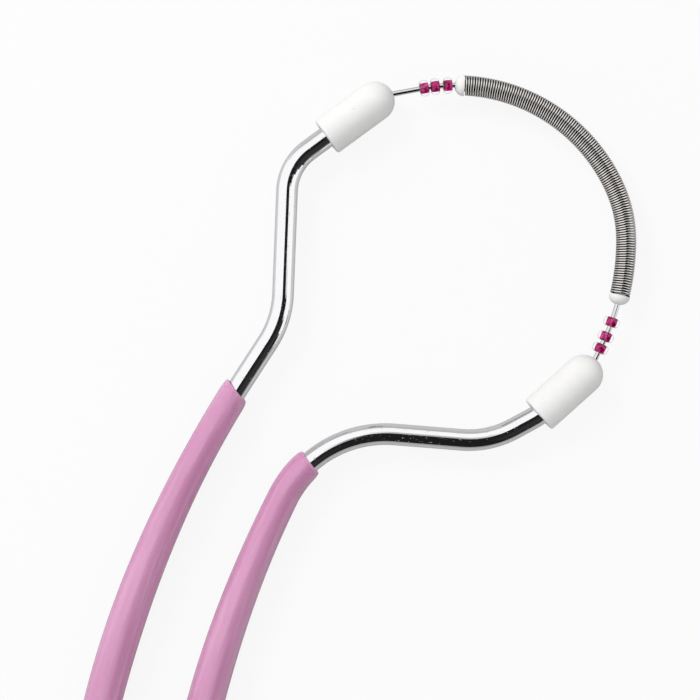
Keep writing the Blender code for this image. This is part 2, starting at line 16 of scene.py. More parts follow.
import bmesh
import bpy
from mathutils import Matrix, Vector


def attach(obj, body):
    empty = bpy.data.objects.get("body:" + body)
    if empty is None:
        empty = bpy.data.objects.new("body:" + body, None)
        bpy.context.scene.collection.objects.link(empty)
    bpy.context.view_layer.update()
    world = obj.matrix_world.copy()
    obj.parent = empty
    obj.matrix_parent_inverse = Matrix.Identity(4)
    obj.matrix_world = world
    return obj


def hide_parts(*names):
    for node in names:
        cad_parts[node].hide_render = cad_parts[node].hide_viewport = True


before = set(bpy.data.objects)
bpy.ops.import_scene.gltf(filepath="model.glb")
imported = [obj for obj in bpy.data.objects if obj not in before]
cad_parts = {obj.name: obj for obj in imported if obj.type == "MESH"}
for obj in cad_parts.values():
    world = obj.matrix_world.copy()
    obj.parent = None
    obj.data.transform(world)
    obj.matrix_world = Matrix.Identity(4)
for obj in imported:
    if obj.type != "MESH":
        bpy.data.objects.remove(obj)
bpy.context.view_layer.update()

# %% [markdown]
# ## The sizes
#
# A dressed piece has to be as big as the CAD piece under it, so the sizes are the same
# ones that the CAD was drawn with. They could be measured from the CAD meshes, but a
# named size is exact and reads better. Lengths are in metres and angles in degrees.

# %% Sizes of the rod and the pieces pushed onto it
MM = 0.001
UP = Vector((0.0, 0.0, 1.0))

# The point midway between the feet of the two arms, where the U bend starts.
DATUM = Vector((-23.972023, -71.249582, 3.199901)) * MM

ROD_RADIUS = 1.75 * MM
HANDLE_SPACING = 16.1 * MM
SLEEVE_BORE_RADIUS = 1.9 * MM
SLEEVE_START = 4.0 * MM
CAP_LENGTH = 12.9 * MM
CAP_RADIUS = 3.2 * MM
CAP_BORE_RADIUS = 2.05 * MM
CAP_SEAT_DEPTH = 8.5 * MM

# Each arm is a chain of straight legs from corner to corner, with its corners rounded.
# Legs and radii are in millimetres here, and headings are counted from +X.
ARMS = {
    "left": {
        "legs": (67.8, 40.8, 25.0, 20.6),
        "headings": (90.0, 70.8, 101.6, 50.1),
        "radii": (175.0, 15.5, 8.5),
        "sleeve": 90.6 * MM,
    },
    "right": {
        "legs": (58.9, 32.6, 27.9, 8.8, 13.2),
        "headings": (90.0, 77.8, 9.2, 42.2, 55.8),
        "radii": (175.0, 18.5, 15.0, 8.0),
        "sleeve": 82.2 * MM,
    },
}
print(f"rod: {2 * ROD_RADIUS / MM:.1f} mm across")

# %% Sizes of the core wire and the pieces threaded onto it
WIRE_RADIUS = 0.425 * MM
WIRE_SEAT_DEPTH = 3.2 * MM
WIRE_BEND_RADIUS = 8.0 * MM
WIRE_LEAN = 26.9
WIRE_LEAD = 5.0 * MM

# The bow is three arcs. The third turns as far as is left, and the radii are shares of a
# size that is solved for.
BOW_WIDE_TURN = 76.0
BOW_SHOULDER_TURN = 24.7
BOW_RADIUS_SHARES = (0.526, 0.384, 0.726)

COIL_LENGTH = 48.6 * MM
COIL_SHIFT = 0.25 * MM
COIL_OUTER_RADIUS = 1.65 * MM
THREADED_BORE_RADIUS = 0.605 * MM
PLUG_RADIUS = 1.7 * MM
PLUG_RIM = 0.15 * MM
PLUG_DOME = 1.4 * MM
SPIGOT_LENGTH = 2.0 * MM
SPIGOT_RADIUS = 0.95 * MM
BEAD_RADIUS = 1.325 * MM
BEAD_LENGTH = 1.5 * MM

# The gap before each bead, from the plug on, as a share of all the bare wire there.
BEAD_GAP_SHARES = {"left": (0.065, 0.10, 0.052), "right": (0.452, 0.209, 0.12)}
print(f"coil: {2 * COIL_OUTER_RADIUS / MM:.1f} mm across")

# %% [markdown]
# ## The routes that the pieces follow
#
# Rod and wire lie in one flat plane, so each is a line of points in that plane. A drawn
# Bezier curve would need its handles set by eye. Straight legs with rounded corners are
# how a wire bender sees the job, and they come from a few lengths, angles and radii.

# %% Straight legs with rounded corners
ROUTE_STEP = 0.4 * MM


def unit(heading):
    angle = math.radians(heading)
    return Vector((math.cos(angle), math.sin(angle), 0.0))


def arc(start, before, after, radius):
    """Points along an arc whose heading turns from before to after."""
    side = math.copysign(1, after - before)
    centre = start + unit(before + 90) * side * radius
    count = math.ceil(math.radians(abs(after - before)) * radius / ROUTE_STEP)
    headings = (before + (after - before) * step / count for step in range(count + 1))
    return [centre - unit(heading + 90) * side * radius for heading in headings]


def rounded_route(start, legs, headings, radii):
    points = [start]
    corner = start
    for leg, before, after, radius in zip(legs, headings, headings[1:], radii):
        corner = corner + unit(before) * leg * MM
        reach = radius * MM * math.tan(math.radians(abs(after - before)) / 2)
        points += arc(corner - unit(before) * reach, before, after, radius * MM)
    points.append(corner + unit(headings[-1]) * legs[-1] * MM)
    return points


print(f"a bend gets a point at least every {ROUTE_STEP / MM:.1f} mm")

# %% Distances along a line, and the two arms
def distances(points):
    """How far along the line each point lies."""
    reached = [0.0]
    for before, after in zip(points, points[1:]):
        reached.append(reached[-1] + (after - before).length)
    return reached


def place_on(points, distance):
    """Point and direction at a distance along a line of points."""
    reached = distances(points)
    index = 1
    while index < len(points) - 1 and reached[index] < distance:
        index += 1
    way = (points[index] - points[index - 1]).normalized()
    return points[index - 1] + way * (distance - reached[index - 1]), way


for side, sign in (("left", -1), ("right", 1)):
    arm = ARMS[side]
    foot = Vector((sign * HANDLE_SPACING / 2, 0.0, 0.0)) + DATUM
    arm["route"] = rounded_route(foot, arm["legs"], arm["headings"], arm["radii"])
    arm["length"] = distances(arm["route"])[-1]
    arm["tip"], arm["axis"] = arm["route"][-1], unit(arm["headings"][-1])
    print(side, "arm:", f"{arm['length'] / MM:.2f} mm to the tip of its cap")

# %% [markdown]
# ## The bow of the core wire
#
# The wire leaves one cap, swings round in three arcs that flow into each other, and ends
# in the other cap. Its ends are given, so the size of the arcs and the length of the
# last straight are solved for: two unknowns, and two sums along two directions.

# %% Where the wire leaves and enters the caps
def clockwise(before, after, radius):
    """Displacement along an arc that turns clockwise."""
    return (unit(before + 90) - unit(after + 90)) * -radius


left, right = ARMS["left"], ARMS["right"]
chord = right["tip"] - left["tip"]
chord_heading = math.degrees(math.atan2(chord.y, chord.x))
out_heading = chord_heading + 90 - WIRE_LEAN
in_heading = chord_heading - 90 + WIRE_LEAN
left_end, right_end = left["headings"][-1], right["headings"][-1] - 180

left_bend = clockwise(left_end, out_heading, WIRE_BEND_RADIUS)
right_bend = clockwise(in_heading, right_end, WIRE_BEND_RADIUS)
wire_exit = left["tip"] + left_bend - left["axis"] * left_bend.dot(left["axis"])
wire_entry = right["tip"] - right_bend + right["axis"] * right_bend.dot(right["axis"])
print(f"tips of the caps: {chord.length / MM:.2f} mm apart")

# %% Solve the bow
turns = [out_heading, out_heading - BOW_WIDE_TURN]
turns += [turns[-1] - BOW_SHOULDER_TURN, in_heading]
arcs = Vector((0.0, 0.0, 0.0))
for before, after, share in zip(turns, turns[1:], BOW_RADIUS_SHARES):
    arcs += clockwise(before, after, share)
rest = wire_entry - wire_exit - unit(out_heading) * WIRE_LEAD
spread = arcs.cross(unit(in_heading)).z
bow_size = rest.cross(unit(in_heading)).z / spread
last_straight = arcs.cross(rest).z / spread
print(f"bow: {bow_size / MM:.2f} mm, last straight: {last_straight / MM:.2f} mm")

# %% Lay out the line of the wire
buried = CAP_LENGTH - CAP_SEAT_DEPTH + WIRE_SEAT_DEPTH
bow = [left["tip"] - left["axis"] * buried]
bow += arc(wire_exit - left_bend, left_end, out_heading, WIRE_BEND_RADIUS)
bow_exit = distances(bow)[-1]
bow.append(bow[-1] + unit(out_heading) * WIRE_LEAD)
for before, after, share in zip(turns, turns[1:], BOW_RADIUS_SHARES):
    bow += arc(bow[-1], before, after, share * bow_size)[1:]
bow.append(bow[-1] + unit(in_heading) * last_straight)
bow_entry = distances(bow)[-1]
bow += arc(bow[-1], in_heading, right_end, WIRE_BEND_RADIUS)[1:]
bow.append(right["tip"] - right["axis"] * buried)
bow_length = distances(bow)[-1]
print(f"wire: {bow_length / MM:.2f} mm, of which {(bow_entry - bow_exit) / MM:.2f} mm is free")

# %% [markdown]
# ## A short way to write nodes
#
# Geometry and shader trees are both made of nodes and links. Adding each by hand takes
# many lines. So one small class wraps an output, to let sums on it read like ordinary
# Python, and a second one adds a node with its inputs and settings.

# %% Sums on the outputs of nodes
class Output:
    """One output of a node. Sums on it add the Math nodes they need."""

    def __init__(self, nodes, socket):
        self.nodes, self.socket = nodes, socket

    def __add__(self, other):
        return self.nodes.maths("ADD", self, other)

    def __sub__(self, other):
        return self.nodes.maths("SUBTRACT", self, other)

    def __rsub__(self, other):
        return self.nodes.maths("SUBTRACT", other, self)

    def __mul__(self, other):
        return self.nodes.maths("MULTIPLY", self, other)

    def __truediv__(self, other):
        return self.nodes.maths("DIVIDE", self, other)

    __radd__, __rmul__ = __add__, __mul__


print("outputs can be used in sums")

# %% One way to add a node
class Nodes:
    """Adds nodes to one tree."""

    def __init__(self, tree):
        self.tree = tree

    def add(self, kind, output, inputs=None, **settings):
        """A node of a kind, and its named output, or several for several names."""
        node = self.tree.nodes.new(kind)
        for name, value in settings.items():
            setattr(node, name, value)
        for key, value in (inputs or {}).items():
            socket = self.find(node.inputs, key)
            if isinstance(value, Output):
                self.tree.links.new(value.socket, socket)
            else:
                socket.default_value = value
        if isinstance(output, tuple):
            return [Output(self, self.find(node.outputs, name)) for name in output]
        return Output(self, self.find(node.outputs, output)) if output else node

    def find(self, sockets, key):
        """A socket by its number, its identifier or its name."""
        if isinstance(key, int):
            return sockets[key]
        for socket in sockets:
            if socket.identifier == key:
                return socket
        return next(socket for socket in sockets if socket.name == key)

    def maths(self, operation, *values):
        """A Math node on numbers, or on the outputs of other nodes."""
        inputs = dict(enumerate(values))
        return self.add("ShaderNodeMath", "Value", inputs, operation=operation)

    def vector(self, operation, *values):
        """A Vector Math node. A dot product is a number, the rest are vectors."""
        output = "Value" if operation == "DOT_PRODUCT" else "Vector"
        inputs = dict(enumerate(values))
        if operation == "SCALE":
            inputs = {0: values[0], "Scale": values[1]}
        return self.add("ShaderNodeVectorMath", output, inputs, operation=operation)


print("nodes can be added")

# %% Open and close a geometry tree
def geometry_tree(name, sizes):
    """A geometry tree with one named input for each (name, kind) in sizes."""
    tree = bpy.data.node_groups.new(name, "GeometryNodeTree")
    sockets = (("Geometry", "Geometry"), *sizes)
    tree.interface.new_socket("Geometry", in_out="OUTPUT", socket_type="NodeSocketGeometry")
    for size, kind in sockets:
        tree.interface.new_socket(size, in_out="INPUT", socket_type="NodeSocket" + kind)
    nodes = Nodes(tree)
    return nodes, nodes.add("NodeGroupInput", tuple(size for size, _ in sockets))


def follow(nodes, axis, along):
    """The point, the way on and the way across at a distance along a line of edges."""
    line = nodes.add("GeometryNodeMeshToCurve", "Curve", {"Mesh": axis})
    inputs = {"Curves": line, "Length": along}
    names = ("Position", "Tangent")
    point, way = nodes.add("GeometryNodeSampleCurve", names, inputs, mode="LENGTH")
    return point, way, nodes.vector("CROSS_PRODUCT", tuple(UP), way)


def store(nodes, geometry, name, value, kind):
    """Write a value on every point, under a name that a finish can read."""
    inputs = {"Geometry": geometry, "Name": name, "Value": value}
    return nodes.add("GeometryNodeStoreNamedAttribute", "Geometry", inputs, data_type=kind)


def finish_tree(nodes, geometry, material):
    """Close a tree with Realize Instances and Set Material, which the export needs."""
    plain = nodes.add("GeometryNodeRealizeInstances", "Geometry", {"Geometry": geometry})
    inputs = {"Geometry": plain, "Material": material}
    dressed = nodes.add("GeometryNodeSetMaterial", "Geometry", inputs)
    nodes.add("NodeGroupOutput", None, {0: dressed})
    print(nodes.tree.name + ":", len(nodes.tree.nodes), "nodes")
    return nodes.tree


print("trees can be built")

# %% [markdown]
# ## One tree that skins a path
#
# Rod, wire, sleeves, caps, plugs and beads are all round about some line, and differ
# only in how their radius changes along it. Curve to Mesh can taper a tube, but it can't
# turn back on itself, which a bored piece does at its rim. So this tree rolls a grid
# round the path. The points of an outline say how far along the path each row of it
# lies, and give its radius and its slant.
#
# The tree also stores the place of each point on the unrolled piece, in millimetres, so
# that a pattern can follow the piece round its bends. Last it welds the edges of the
# grid together, and keeps an edge sharp where the skin turns by more than the crease
# angle.

# %% Build the skin tree
WELD_DISTANCE = 0.0005 * MM
CREASE_ANGLE = math.radians(50)


def build_skin_tree():
    sizes = (("Path", "Object"), ("Sides", "Int"), ("Rows", "Int"), ("Material", "Material"))
    nodes, (outline, path, sides, rows, material) = geometry_tree("skin_on_path", sizes)
    axis = nodes.add("GeometryNodeObjectInfo", "Geometry", {"Object": path})
    points = nodes.add("GeometryNodeAttributeDomainSize", "Point Count", {0: outline})
    index = nodes.add("GeometryNodeInputIndex", "Index")
    row = nodes.maths("FLOOR", index / (sides + 1))
    column = index - row * (sides + 1)
    station = nodes.maths("MODULO", row, points)

    def read(name):
        values = nodes.add("GeometryNodeInputNamedAttribute", "Attribute", {"Name": name})
        inputs = {"Geometry": outline, "Value": values, "Index": station}
        return nodes.add("GeometryNodeSampleIndex", "Value", inputs)

    along, radius, slant = read("along"), read("radius"), read("slant")
    point, way, beside = follow(nodes, axis, along)
    angle = column / sides * (-2 * math.pi)
    across = nodes.maths("COSINE", angle) * radius
    rise = nodes.maths("SINE", angle) * radius
    place = nodes.vector("ADD", point, nodes.vector("SCALE", beside, across))
    place = nodes.vector("ADD", place, nodes.vector("SCALE", tuple(UP), rise))
    place = nodes.vector("ADD", place, nodes.vector("SCALE", way, slant * across))

    inputs = {"Vertices X": rows, "Vertices Y": sides + 1}
    skin = nodes.add("GeometryNodeMeshGrid", "Mesh", inputs)
    flat = nodes.add("ShaderNodeCombineXYZ", "Vector", {0: across, 1: rise, 2: along})
    flat = nodes.vector("SCALE", flat, 1 / MM)
    skin = store(nodes, skin, "unrolled", flat, "FLOAT_VECTOR")
    inputs = {"Geometry": skin, "Position": place}
    skin = nodes.add("GeometryNodeSetPosition", "Geometry", inputs)
    inputs = {"Geometry": skin, "Distance": WELD_DISTANCE}
    skin = nodes.add("GeometryNodeMergeByDistance", "Geometry", inputs)
    bend = nodes.add("GeometryNodeInputMeshEdgeAngle", "Unsigned Angle")
    smooth = nodes.maths("LESS_THAN", bend, CREASE_ANGLE)
    inputs = {"Geometry": skin, "Shade Smooth": smooth}
    skin = nodes.add("GeometryNodeSetShadeSmooth", "Geometry", inputs, domain="EDGE")
    return finish_tree(nodes, skin, material)


skin_tree = build_skin_tree()

# %% [markdown]
# ## From a tree to a plain mesh
#
# A tree runs as a modifier. Its inputs are set by their identifiers before the object is
# first evaluated, and then the evaluated result is taken as a plain mesh and the
# modifier goes. Each mesh is measured as it is made: a closed skin whose faces point
# outwards has a volume above zero, so a shape that is inside out shows at once.

# %% New objects, and a measure of each
def link(name, data):
    piece = bpy.data.objects.new(name, data)
    bpy.context.scene.collection.objects.link(piece)
    return piece


def path_object(name, points):
    mesh = bpy.data.meshes.new(name)
    mesh.from_pydata(points, [(index, index + 1) for index in range(len(points) - 1)], [])
    return link(name, mesh)


def measure(piece):
    shape = bmesh.new()
    shape.from_mesh(piece.data)
    loose = sum(1 for edge in shape.edges if not edge.is_manifold)
    triangles = sum(len(face.verts) - 2 for face in shape.faces)
    volume = shape.calc_volume(signed=True) / MM**3
    shape.free()
    print(f"{piece.name}: {triangles} triangles, {volume:.2f} mm3, {loose} open edges")


print("each piece will be measured")

# %% Run a tree on an outline
def keep_result(piece):
    """Swap a piece's live modifiers for the plain mesh that they give."""
    graph = bpy.context.evaluated_depsgraph_get()
    result = bpy.data.meshes.new_from_object(
        piece.evaluated_get(graph), preserve_all_data_layers=True, depsgraph=graph
    )
    piece.modifiers.clear()
    piece.data = result
    result.name = piece.name
    measure(piece)


def grow(name, outline, tree, inputs):
    piece = link(name, outline)
    modifier = piece.modifiers.new(tree.name, "NODES")
    modifier.node_group = tree
    for socket in tree.interface.items_tree:
        if socket.in_out == "INPUT" and socket.name in inputs:
            modifier[socket.identifier] = inputs[socket.name]
    keep_result(piece)
    return piece


print("a tree can be run")

# %% Skin a path, and hand a piece to its body
def skin(name, points, outline, material, sides, closed=False):
    """A round piece on a path. Each outline entry is (along, radius) or also a slant."""
    mesh = bpy.data.meshes.new(name + "_outline")
    mesh.from_pydata([(row[0], row[1], 0.0) for row in outline], [], [])
    for column, attribute in enumerate(("along", "radius", "slant")):
        values = [row[column] if column < len(row) else 0.0 for row in outline]
        mesh.attributes.new(attribute, "FLOAT", "POINT").data.foreach_set("value", values)
    path = path_object(name + "_path", points)
    rows = len(outline) + (1 if closed else 0)
    inputs = {"Path": path, "Sides": sides, "Rows": rows, "Material": material}
    piece = grow(name, mesh, skin_tree, inputs)
    bpy.data.objects.remove(path)
    return piece


def fit(piece, body, node=None):
    """Make a piece ride on its CAD body, and stand for its CAD node if it has one."""
    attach(piece, body)
    if node:
        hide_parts(node)


def steps(low, high, count):
    return [low + (high - low) * step / count for step in range(count + 1)]


def round_steps(first, last, count):
    """Sine and cosine at even steps from one angle to another."""
    turns = (math.radians(turn) for turn in steps(first, last, count))
    return [(math.sin(turn), math.cos(turn)) for turn in turns]


print("round pieces can be skinned")

# %% [markdown]
# ## Finishes
#
# Every finish is procedural. A plain colour would look like a sample chip, so each one
# has the small unevenness of the real surface at its real size: drawn lines, a soft
# orange peel, fine grain, tiny specks. Patterns read the unrolled place, in millimetres,
# so that they run along the bent pieces.

# %% Colours
def colour(red, green, blue):
    """A colour read from a picture, 0 to 255, as the linear value a shader needs."""
    channels = (value / 255 for value in (red, green, blue))
    return tuple(c / 12.92 if c <= 0.04045 else ((c + 0.055) / 1.055) ** 2.4 for c in channels)


print("middle grey, linear:", round(colour(128, 128, 128)[0], 3))

# %% Textures of a finish
class Finish(Nodes):
    """A material with its main shader, and the textures that a finish is made from."""

    def __init__(self, name, **constants):
        self.material = bpy.data.materials.new(name)
        self.material.use_nodes = True
        super().__init__(self.material.node_tree)
        self.shader = self.tree.nodes["Principled BSDF"]
        for socket, value in constants.items():
            self.shader.inputs[socket.replace("_", " ")].default_value = value
        self.unrolled = self.add("ShaderNodeAttribute", "Vector", attribute_name="unrolled")

    def noise(self, size, detail=2.0, stretch=1.0):
        """Noise with blobs of a size in mm, stretched so many times along the piece."""
        scale = (1 / size, 1 / size, 1 / size / stretch)
        inputs = {"Vector": self.unrolled, "Scale": scale}
        place = self.add("ShaderNodeMapping", "Vector", inputs)
        inputs = {"Vector": place, "Scale": 1.0, "Detail": detail}
        return self.add("ShaderNodeTexNoise", "Fac", inputs)

    def spots(self, size, share):
        """1 on scattered specks and 0 between them."""
        inputs = {"Vector": self.unrolled, "Scale": 1 / size}
        distance = self.add("ShaderNodeTexVoronoi", "Distance", inputs)
        return self.maths("LESS_THAN", distance, share)

    def between(self, factor, low, high):
        """Map a factor from 0 to 1 onto low to high."""
        inputs = {"Value": factor, "To Min": low, "To Max": high}
        return self.add("ShaderNodeMapRange", "Result", inputs)

    def rise(self, value, low, high):
        """0 where a value is below low, 1 where it is above high."""
        inputs = {"Value": value, "From Min": low, "From Max": high}
        return self.add("ShaderNodeMapRange", "Result", inputs)

    def mix(self, factor, first, second):
        inputs = {"Factor_Float": factor}
        for socket, value in (("A_Color", first), ("B_Color", second)):
            inputs[socket] = value if isinstance(value, Output) else (*value, 1.0)
        return self.add("ShaderNodeMix", "Result_Color", inputs, data_type="RGBA")

    def ends(self, length, reach):
        """1 at both ends of a piece of a length in mm, 0 from a reach inwards."""
        along = self.add("ShaderNodeSeparateXYZ", "Z", {0: self.unrolled})
        off_middle = self.maths("ABSOLUTE", along - length / 2)
        return self.rise(off_middle, length / 2 - reach, length / 2)

    def set(self, **channels):
        for name, value in channels.items():
            self.tree.links.new(value.socket, self.shader.inputs[name.replace("_", " ")])

    def bump(self, height, depth):
        """Bump whose full height is a depth in metres."""
        inputs = {"Height": height, "Strength": 1.0, "Distance": depth}
        self.set(Normal=self.add("ShaderNodeBump", "Normal", inputs))

    def done(self):
        print(self.material.name + ":", len(self.tree.nodes), "nodes")
        return self.material


print("a finish can be made")

# %% [markdown]
# ## The chrome rod
#
# The rod is mild steel wire, bent cold and then nickel and chrome plated. Plating is a
# mirror, but the wire under it was drawn through a die, so the reflections carry very
# fine lines along the rod and a few pits. The rod could be a Bezier curve with a bevel.
# The skin tree gives the same tube, with evenly spaced rings and a flat closed end.

# %% Chrome finish
def chrome_finish():
    finish = Finish("mirror_chrome", Metallic=1.0)
    drawn = finish.noise(0.16, 3.0, 60.0)
    cloud = finish.noise(2.2, 3.0, 3.0)
    pits = finish.rise(finish.noise(0.22, 4.0, 2.5), 0.64, 0.76)
    plate = finish.mix(cloud, colour(252, 252, 253), colour(246, 246, 249))
    finish.set(Base_Color=finish.mix(pits * 0.3, plate, colour(170, 170, 176)))
    finish.set(Roughness=finish.between(cloud, 0.02, 0.06) + pits * 0.08)
    finish.bump(drawn * 0.2 + cloud * 0.3 - pits, 0.008 * MM)
    return finish.done()


chrome = chrome_finish()

# %% The rod's route, from the left cap round the U bend to the right cap
def rod_end(arm):
    """Distance along an arm where the rod stops inside its cap."""
    return arm["length"] - CAP_LENGTH + CAP_SEAT_DEPTH


def rod_route():
    halves = {}
    for side, arm in ARMS.items():
        end = rod_end(arm)
        inner = [p for p, d in zip(arm["route"], distances(arm["route"])) if d < end]
        halves[side] = [*inner, place_on(arm["route"], end)[0]]
    bend = arc(left["route"][0], -90.0, 90.0, HANDLE_SPACING / 2)
    return [*reversed(halves["left"]), *bend[1:-1], *halves["right"]]


rod_points = rod_route()
rod_length = distances(rod_points)[-1]
print(f"rod: {rod_length / MM:.1f} mm of wire")

# %% Skin the rod
def solid_outline(length, radius, inset, rings):
    """A plain round bar with flat ends. Its first rings stand an inset from the ends."""
    rows = [(0.0, 0.0), (0.0, radius)]
    rows += [(along, radius) for along in steps(inset, length - inset, rings)]
    return rows + [(length, radius), (length, 0.0)]


outline = solid_outline(rod_length, ROD_RADIUS, inset=0.5 * MM, rings=560)
rod = skin("chrome_rod", rod_points, outline, chrome, sides=48)
fit(rod, "frame", "frame_rod")

# %% [markdown]
# ## The pink sleeves
#
# Each sleeve is a soft PVC tube, dipped or pushed over the arm, thick at the grip and
# thin at its mouth. Its surface is glossy but not flat: it has a shallow waviness, and
# the light goes a little way in. Lighter lengthwise streaks in its colour are a painted
# highlight along that waviness. The mouth of the left one is cut at a slant.

# %% Pink finish
def pink_finish():
    finish = Finish(
        "pink_gloss_plastic", IOR=1.49, Coat_Weight=1.0, Coat_Roughness=0.06,
        Subsurface_Weight=0.7, Subsurface_Radius=(1.0, 0.5, 0.8), Subsurface_Scale=1.0 * MM,
    )
    cloud = finish.noise(2.6, 2.0, 9.0)
    grain = finish.noise(0.12, 3.0)
    flow = finish.noise(0.9, 2.0, 18.0)
    dye = finish.mix(finish.rise(cloud, 0.3, 0.7), colour(219, 159, 197), colour(206, 137, 181))
    # Painted highlight: lighter lengthwise streaks in the colour stand for glossy highlight
    # lines. The same flow also gives the real waviness in the bump and roughness.
    highlight_streaks = finish.rise(flow, 0.5, 0.7)
    finish.set(Base_Color=finish.mix(highlight_streaks * 0.4 + grain * 0.2, dye, colour(228, 180, 209)))
    finish.set(Roughness=finish.between(flow, 0.42, 0.58))
    finish.bump(flow * 0.9 + grain * 0.05, 0.03 * MM)
    return finish.done()


pink = pink_finish()

# %% The outline of a sleeve
SLEEVE_WALLS = {"foot": 0.85 * MM, "grip": 1.15 * MM, "neck": 0.6 * MM, "mouth": 0.25 * MM}
FOOT_LENGTH = 1.6 * MM
TAPER_LENGTH = 50.0 * MM
MOUTH_LENGTH = 2.0 * MM
MOUTH_SLANT = {"left": 0.34, "right": 0.06}
SLANT_REACH = 4.0 * MM
FOOT_EDGE = 0.1 * MM
MOUTH_EDGE = 0.05 * MM
BORE_EDGE = 0.03 * MM


def rounding(share):
    """Height of a quarter circle at a share of its width."""
    return math.sqrt(1 - (1 - share) ** 2)


def sleeve_outline(length, slant):
    """From the bore at the foot, up the outside, over the mouth and back down the bore."""
    foot, grip, neck, mouth = (SLEEVE_BORE_RADIUS + SLEEVE_WALLS[name] for name in SLEEVE_WALLS)
    rows = [(0.0, SLEEVE_BORE_RADIUS), (0.0, foot - FOOT_EDGE)]
    for share in steps(0.02, 1.0, 8):
        rows.append((FOOT_LENGTH * share, foot + (grip - foot) * rounding(share)))
    taper = length - TAPER_LENGTH
    rows += [(along, grip) for along in steps(FOOT_LENGTH, taper, 50)[1:-1]]
    for share in steps(0.0, 1.0, 60):
        ease = (1 - math.cos(math.pi * share)) / 2
        along = taper + (TAPER_LENGTH - MOUTH_LENGTH) * share
        rows.append((along, grip + (neck - grip) * ease))
    for share in steps(1.0, 0.03, 12)[1:]:
        rows.append((length - MOUTH_LENGTH * share, mouth + (neck - mouth) * rounding(share)))
    rows += [(length, mouth - MOUTH_EDGE), (length, SLEEVE_BORE_RADIUS + BORE_EDGE)]
    rows += [(along, SLEEVE_BORE_RADIUS) for along in steps(length - MOUTH_EDGE, 0.0, 90)]
    lean = [slant * max(0.0, 1 - (length - along) / SLANT_REACH) for along, _ in rows]
    return [(SLEEVE_START + along, radius, tilt) for (along, radius), tilt in zip(rows, lean)]


print(f"a sleeve's taper: {TAPER_LENGTH / MM:.0f} mm")

# %% Skin the two sleeves
for side, arm in ARMS.items():
    outline = sleeve_outline(arm["sleeve"], MOUTH_SLANT[side])[:-1]
    name = "pink_sleeve_" + side
    sleeve = skin(name, arm["route"], outline, pink, sides=48, closed=True)
    fit(sleeve, "frame", side + "_sleeve")

# %% [markdown]
# ## The white caps
#
# A cap is a moulded plug of white nylon, bored to take the rod's end and with a small
# hole in its dome for the core wire. It is turned: one outline goes from the bottom of
# the bore, out over the lip and up to the tip of the dome. A hole on the axis could be
# part of the outline, but the wire leaves at a lean. So a Boolean cuts the hole, with a
# slightly wider tube along the wire's own line. It clears the unrolled place that the
# finish reads, and that is written again.

# %% White finish
def white_finish():
    finish = Finish(
        "white_moulded_plastic", IOR=1.5, Subsurface_Weight=0.15,
        Subsurface_Scale=0.8 * MM,
    )
    cloud = finish.noise(1.8, 3.0)
    grain = finish.noise(0.09, 2.0)
    specks = finish.spots(1.9, 0.045)
    body = finish.mix(cloud, colour(247, 247, 246), colour(240, 240, 238))
    finish.set(Base_Color=finish.mix(specks * 0.8, body, colour(150, 142, 136)))
    finish.set(Roughness=finish.between(cloud, 0.42, 0.55))
    finish.bump(grain * 0.1 + cloud * 0.9 - specks * 0.3, 0.02 * MM)
    return finish.done()


white = white_finish()

# %% The outline of a cap
CAP_LIP = 0.35 * MM
CAP_END_GAP = 0.3 * MM

# How the bore opens at the mouth: steps inwards and outwards, in millimetres.
MOUTH_EASE = ((0.25, 0.0), (0.06, 0.08), (0.0, 0.25))


def cap_outline():
    depth = CAP_SEAT_DEPTH + CAP_END_GAP
    rows = [(depth, 0.0), (depth, CAP_BORE_RADIUS)]
    rows += [(along * MM, CAP_BORE_RADIUS + wider * MM) for along, wider in MOUTH_EASE]
    for sine, cosine in round_steps(0.0, 90.0, 5):
        rows.append((CAP_LIP * (1 - cosine), CAP_RADIUS - CAP_LIP * (1 - sine)))
    dome = CAP_LENGTH - CAP_RADIUS
    rows += [(along, CAP_RADIUS) for along in steps(CAP_LIP, dome, 16)[1:-1]]
    for sine, cosine in round_steps(0.0, 90.0, 24):
        rows.append((dome + CAP_RADIUS * sine, CAP_RADIUS * cosine))
    return rows


print("outline of a cap:", len(cap_outline()), "points")

# %% Cut a piece, and unroll it again
def cut(piece, cutter):
    """Cut one piece out of another, and leave a plain mesh."""
    boolean = piece.modifiers.new("cut", "BOOLEAN")
    boolean.operation = "DIFFERENCE"
    boolean.solver = "EXACT"
    boolean.object = cutter
    keep_result(piece)
    bpy.data.objects.remove(cutter)


def unroll(piece, foot, axis):
    beside = UP.cross(axis)
    values = []
    for vertex in piece.data.vertices:
        place = (vertex.co - foot) / MM
        values += [place.dot(beside), place.z, place.dot(axis)]
    piece.data.attributes["unrolled"].data.foreach_set("vector", values)


print("a cap can be cut and unrolled")

# %% Turn the caps and cut the wire's hole
CHANNEL_RADIUS = WIRE_RADIUS + 0.12 * MM
CHANNEL_START = WIRE_SEAT_DEPTH + 1.0 * MM
CHANNEL_OVERRUN = 1.5 * MM
CHANNEL_SPANS = {
    "left": (CHANNEL_START, bow_exit + CHANNEL_OVERRUN),
    "right": (bow_entry - CHANNEL_OVERRUN, bow_length - CHANNEL_START),
}

for side, arm in ARMS.items():
    path = [arm["tip"] - arm["axis"] * CAP_LENGTH, arm["tip"]]
    cap = skin("white_cap_" + side, path, cap_outline(), white, sides=64)
    first, last = CHANNEL_SPANS[side]
    wall = [(along, CHANNEL_RADIUS) for along in steps(first, last, 12)]
    wall = [(first, 0.0), *wall, (last, 0.0)]
    cut(cap, skin("wire_channel", bow, wall, white, sides=24))
    # Counting from the arm's foot gives the two caps different specks.
    unroll(cap, path[0] - arm["axis"] * arm["length"], arm["axis"])
    fit(cap, "frame", side + "_cap")

# %% [markdown]
# ## The core wire
#
# The core is a single bright spring wire, thin enough to bow and stiff enough to hold
# the coil in its arc. It is skinned on the bow's route, like the rod.

